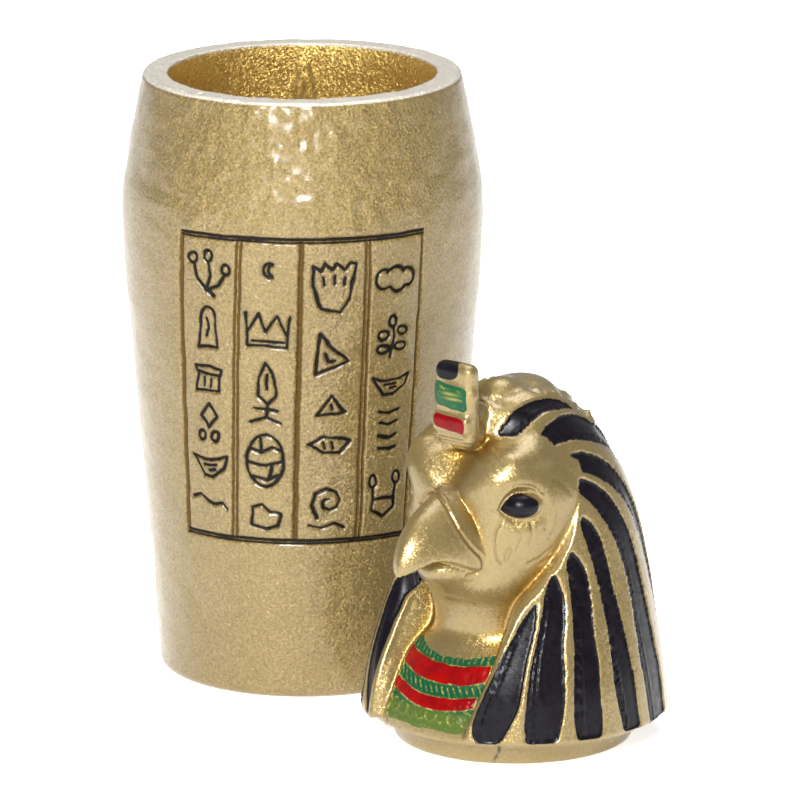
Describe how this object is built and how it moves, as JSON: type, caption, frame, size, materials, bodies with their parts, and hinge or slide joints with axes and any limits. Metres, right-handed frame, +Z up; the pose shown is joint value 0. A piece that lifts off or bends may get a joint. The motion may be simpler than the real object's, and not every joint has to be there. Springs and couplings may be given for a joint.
{
  "type": "canopic jar",
  "caption": "Souvenir canopic jar with a panel of incised marks, its falcon-headed lid lifted off and standing beside it.",
  "frame": {"origin": "centre of the jar's underside", "axes": "+Z up along the jar's axis, -Y towards the incised panel on the jar's front, +X to the side where the lid stands"},
  "size_m": [0.0849, 0.0918, 0.0958],
  "materials": {
    "jar_gold": "gold paint over sandy cast resin",
    "lid_gold": "gold, black, green and red paint over cast resin"
  },
  "bodies": {
    "root": {"jar_body": "jar_gold", "falcon_head_lid": "lid_gold"}
  },
  "joints": []
}
